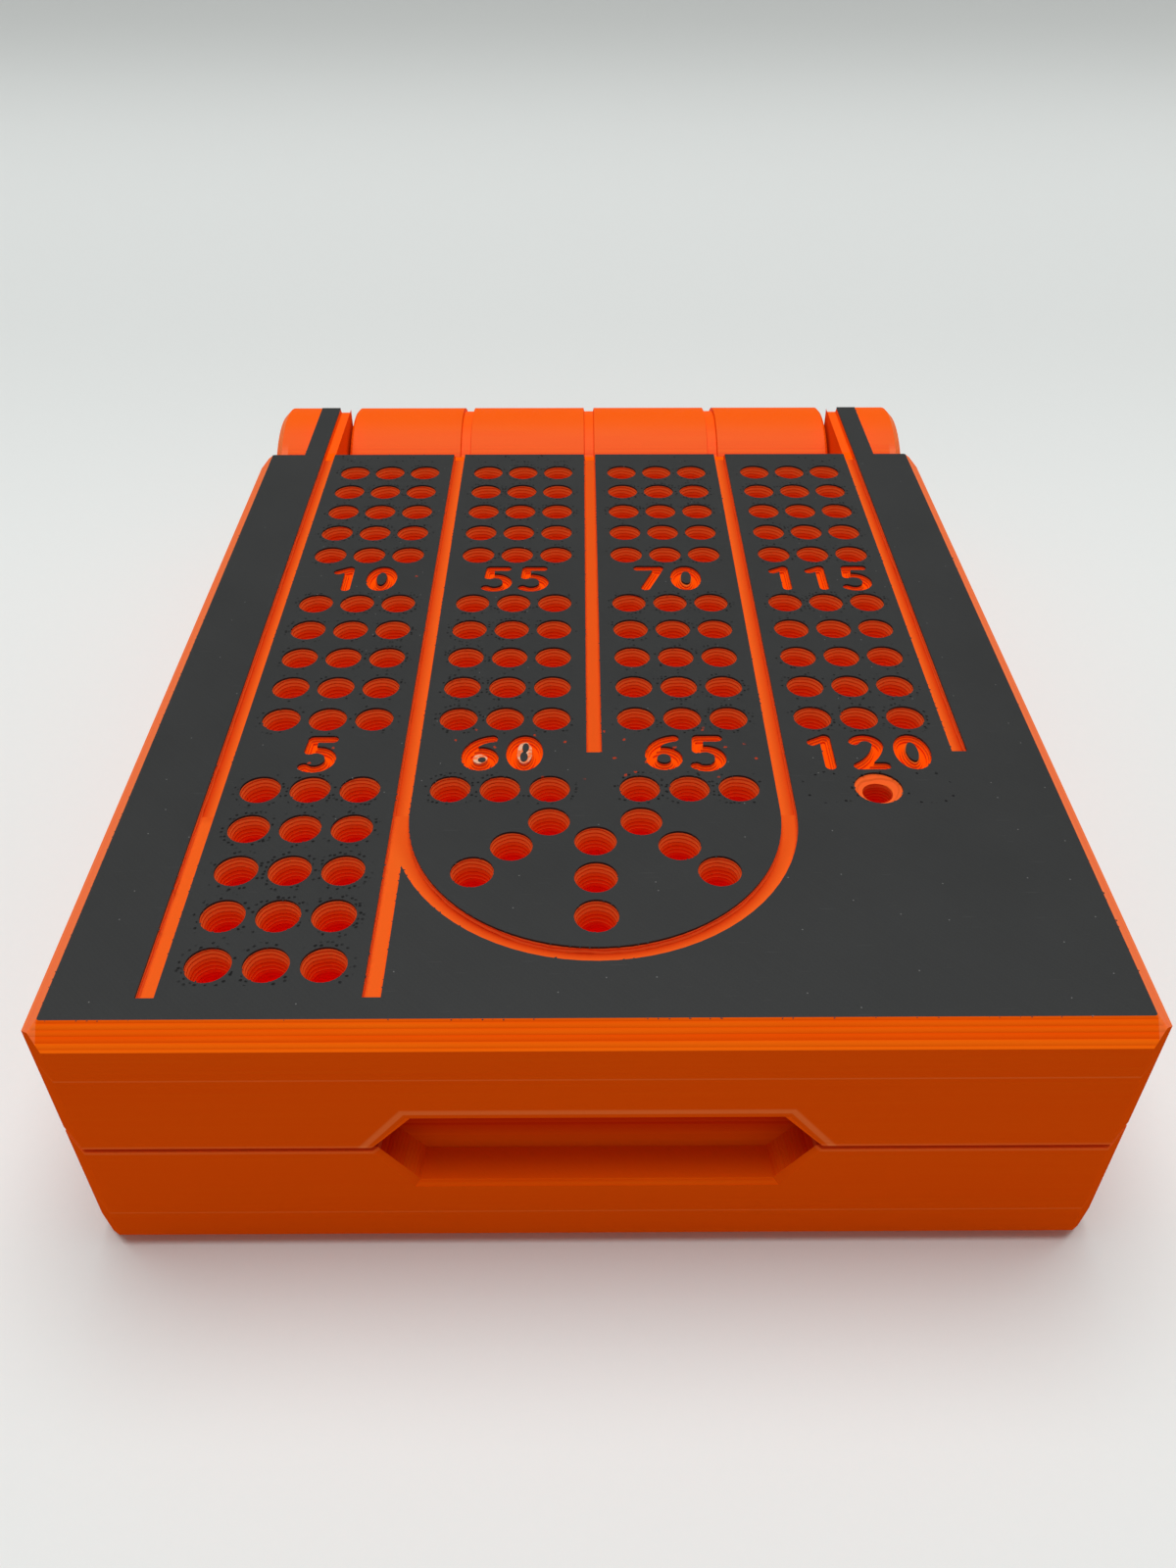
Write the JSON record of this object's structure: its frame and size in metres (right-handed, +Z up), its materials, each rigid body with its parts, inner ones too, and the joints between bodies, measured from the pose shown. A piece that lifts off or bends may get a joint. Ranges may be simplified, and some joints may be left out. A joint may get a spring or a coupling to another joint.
{
  "type": "folding cribbage board",
  "caption": "Pocket cribbage board that folds shut like a box, with peg lanes on both outer faces, a card bay, a lidded peg bay and a pinned hinge.",
  "frame": {"origin": "middle of the closed board's footprint, on the surface it lies on", "axes": "+Z up out of the upper playing face, +Y along the lanes towards the hinge, +X to the player's right"},
  "size_m": [0.1014, 0.1458, 0.033],
  "materials": {
    "orange_plastic": "satin, printed in layers",
    "charcoal_plastic": "satin, smooth from the print bed",
    "steel": "drawn bar",
    "magnet_nickel": "nickel plated",
    "peg_white": "satin",
    "peg_charcoal": "satin",
    "peg_orange": "satin"
  },
  "bodies": {
    "lower": {"lower_case": "orange_plastic", "lower_border_skin": "charcoal_plastic", "lower_left_island_skin": "charcoal_plastic", "lower_right_island_skin": "charcoal_plastic", "lower_digit_centres": "charcoal_plastic", "lower_left_magnet": "magnet_nickel", "lower_right_magnet": "magnet_nickel", "white_peg_1": "peg_white", "white_peg_2": "peg_white", "white_peg_3": "peg_white", "charcoal_peg_1": "peg_charcoal", "charcoal_peg_2": "peg_charcoal", "charcoal_peg_3": "peg_charcoal", "orange_peg_1": "peg_orange", "orange_peg_2": "peg_orange", "orange_peg_3": "peg_orange"},
    "upper": {"upper_case": "orange_plastic", "upper_border_skin": "charcoal_plastic", "upper_island_skin": "charcoal_plastic", "upper_digit_centres": "charcoal_plastic", "upper_left_magnet": "magnet_nickel", "upper_right_magnet": "magnet_nickel", "hinge_rod": "steel"},
    "lid": {"peg_lid": "orange_plastic"}
  },
  "joints": [
    {"name": "fold", "type": "hinge", "parent": "lower", "child": "upper", "pos_m": [0, 0.0579, 0.0165], "axis": [-1, 0, 0], "range_deg": [0, 180]},
    {"name": "lid_slide", "type": "slide", "parent": "lower", "child": "lid", "axis": [0, -1, 0], "range_m": [0, 0.034]}
  ]
}
